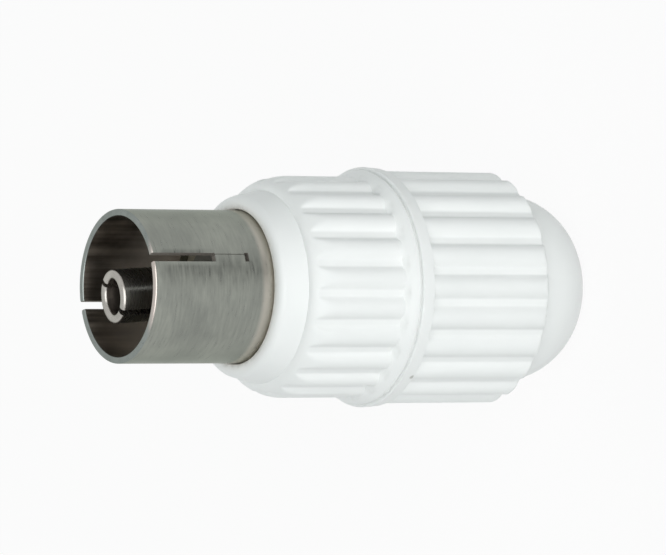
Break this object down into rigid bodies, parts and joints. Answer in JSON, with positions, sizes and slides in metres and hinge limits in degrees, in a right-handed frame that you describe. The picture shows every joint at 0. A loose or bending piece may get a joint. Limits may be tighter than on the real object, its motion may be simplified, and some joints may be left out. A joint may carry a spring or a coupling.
{
  "type": "coaxial aerial line socket",
  "caption": "Coaxial aerial line socket: slotted metal sleeve round a split centre contact, ribbed white plastic shell and screw-on ribbed cap that clamps the cable.",
  "frame": {"origin": "centre of the flat ring round the cable hole, on which the part stands", "axes": "+Z along the connector's axis from the cable end to the mouth; the picture's viewer looks from -Y, about 32 degrees above the ring's plane"},
  "size_m": [0.0164, 0.0164, 0.035],
  "materials": {
    "white_plastic": "satin moulded",
    "cap_plastic": "satin moulded",
    "nickel_sleeve": "nickel plated, handled",
    "nickel_contact": "nickel plated, turned",
    "bead_plastic": "moulded",
    "zinc_screw": "zinc plated",
    "claw_brass": "stamped"
  },
  "bodies": {
    "body": {"front_shell": "white_plastic", "outer_contact": "nickel_sleeve", "insulator": "bead_plastic", "centre_contact": "nickel_contact", "terminal_screw": "zinc_screw"},
    "claw": {"cable_claw": "claw_brass"},
    "cap": {"rear_cap": "cap_plastic"}
  },
  "joints": [
    {"name": "claw_slide", "type": "slide", "parent": "body", "child": "claw", "axis": [0, 0, -1], "range_m": [0, 0.00625]},
    {"name": "cap_turn", "type": "hinge", "parent": "claw", "child": "cap", "pos_m": [0, 0, 0.01], "axis": [0, 0, -1], "range_deg": [0, 1800]}
  ],
  "couplings": [
    {"joint": "cap_turn", "follows": "claw_slide", "rad_per_m": 5026.5}
  ]
}
